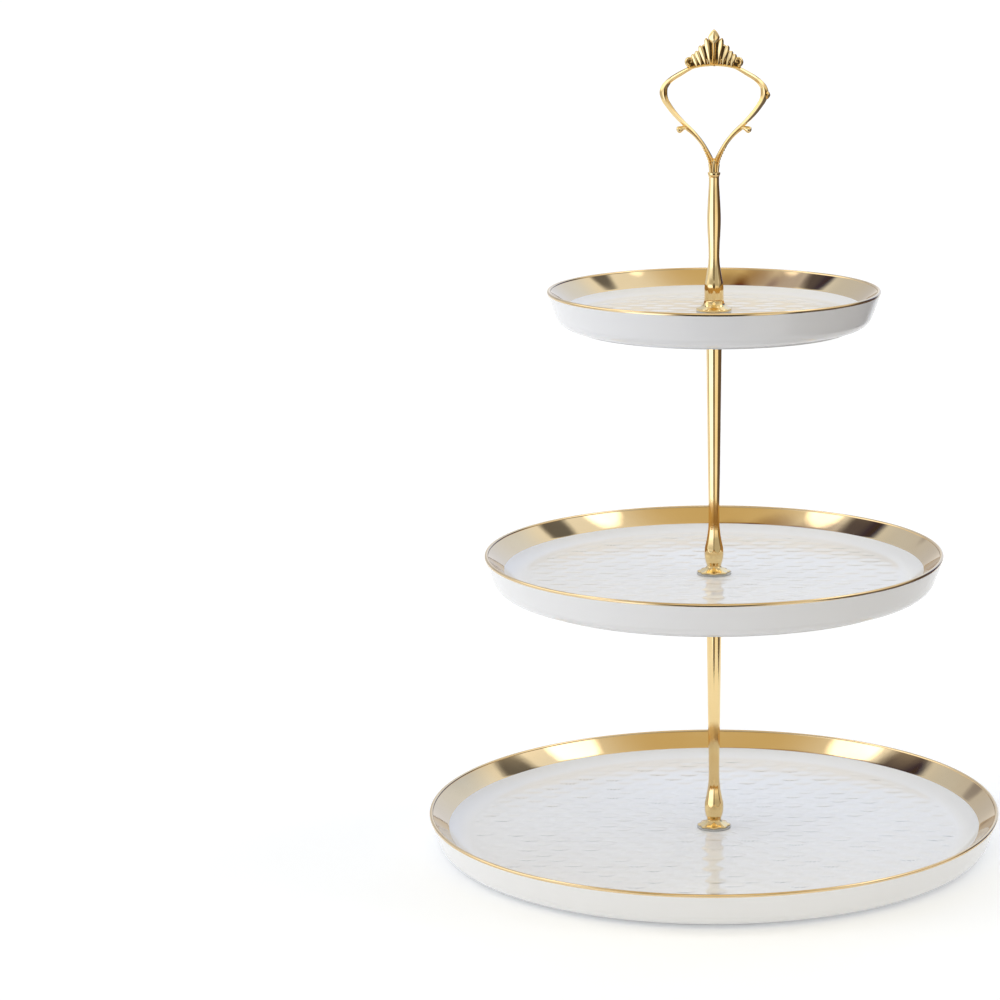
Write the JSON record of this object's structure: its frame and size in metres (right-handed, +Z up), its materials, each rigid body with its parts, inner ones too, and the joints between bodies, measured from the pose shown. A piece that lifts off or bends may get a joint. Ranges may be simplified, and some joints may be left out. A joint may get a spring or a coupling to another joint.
{
  "type": "tiered cake stand",
  "caption": "Tiered cake stand: round porcelain dishes in shrinking sizes on a gold-plated centre column, with a looped handle under a small crown.",
  "frame": {"origin": "on the table, at the centre of the bottom plate's foot ring", "axes": "+Z up along the column; the handle loop lies in the XZ plane and its front faces -Y"},
  "size_m": [0.254, 0.254, 0.3618],
  "materials": {
    "glazed_porcelain": "glossy",
    "gold_plate": "polished",
    "plated_steel": "satin",
    "clear_plastic": "clear"
  },
  "bodies": {
    "bottom_tier": {"bottom_plate": "glazed_porcelain", "bottom_cushion_washer": "clear_plastic"},
    "base_fastener": {"base_screw": "plated_steel", "bottom_steel_washer": "plated_steel"},
    "bottom_collar": {"bottom_collar_washer": "clear_plastic"},
    "lower_column": {"lower_rod": "gold_plate", "lower_stud": "plated_steel", "middle_steel_washer": "plated_steel", "middle_cushion_washer": "clear_plastic"},
    "middle_tier": {"middle_plate": "glazed_porcelain"},
    "middle_collar": {"middle_collar_washer": "clear_plastic"},
    "middle_column": {"middle_rod": "gold_plate", "middle_stud": "plated_steel", "top_steel_washer": "plated_steel", "top_cushion_washer": "clear_plastic"},
    "top_tier": {"top_plate": "glazed_porcelain"},
    "top_collar": {"top_collar_washer": "clear_plastic"},
    "handle": {"handle_stem": "gold_plate", "handle_stud": "plated_steel", "handle_loop": "gold_plate"}
  },
  "joints": [
    {"name": "column_swivel", "type": "hinge", "parent": "bottom_tier", "child": "base_fastener", "pos_m": [0, 0, 0.0019], "axis": [0, 0, 1], "continuous": true},
    {"name": "lower_rod_turn", "type": "hinge", "parent": "base_fastener", "child": "bottom_collar", "pos_m": [0, 0, 0.0078], "axis": [0, 0, 1], "range_deg": [0, 4051]},
    {"name": "lower_rod_rise", "type": "slide", "parent": "bottom_collar", "child": "lower_column", "axis": [0, 0, 1], "range_m": [0, 0.00788]},
    {"name": "middle_rod_turn", "type": "hinge", "parent": "lower_column", "child": "middle_collar", "pos_m": [0, 0, 0.1242], "axis": [0, 0, 1], "range_deg": [0, 4051]},
    {"name": "middle_rod_rise", "type": "slide", "parent": "middle_collar", "child": "middle_column", "axis": [0, 0, 1], "range_m": [0, 0.00788]},
    {"name": "handle_turn", "type": "hinge", "parent": "middle_column", "child": "top_collar", "pos_m": [0, 0, 0.2406], "axis": [0, 0, 1], "range_deg": [0, 4051]},
    {"name": "handle_rise", "type": "slide", "parent": "top_collar", "child": "handle", "axis": [0, 0, 1], "range_m": [0, 0.00788]},
    {"name": "middle_plate_swivel", "type": "hinge", "parent": "lower_column", "child": "middle_tier", "pos_m": [0, 0, 0.1201], "axis": [0, 0, 1], "continuous": true},
    {"name": "top_plate_swivel", "type": "hinge", "parent": "middle_column", "child": "top_tier", "pos_m": [0, 0, 0.2365], "axis": [0, 0, 1], "continuous": true}
  ],
  "couplings": [
    {"joint": "lower_rod_turn", "follows": "lower_rod_rise", "rad_per_m": 8976},
    {"joint": "middle_rod_turn", "follows": "middle_rod_rise", "rad_per_m": 8976},
    {"joint": "handle_turn", "follows": "handle_rise", "rad_per_m": 8976}
  ]
}
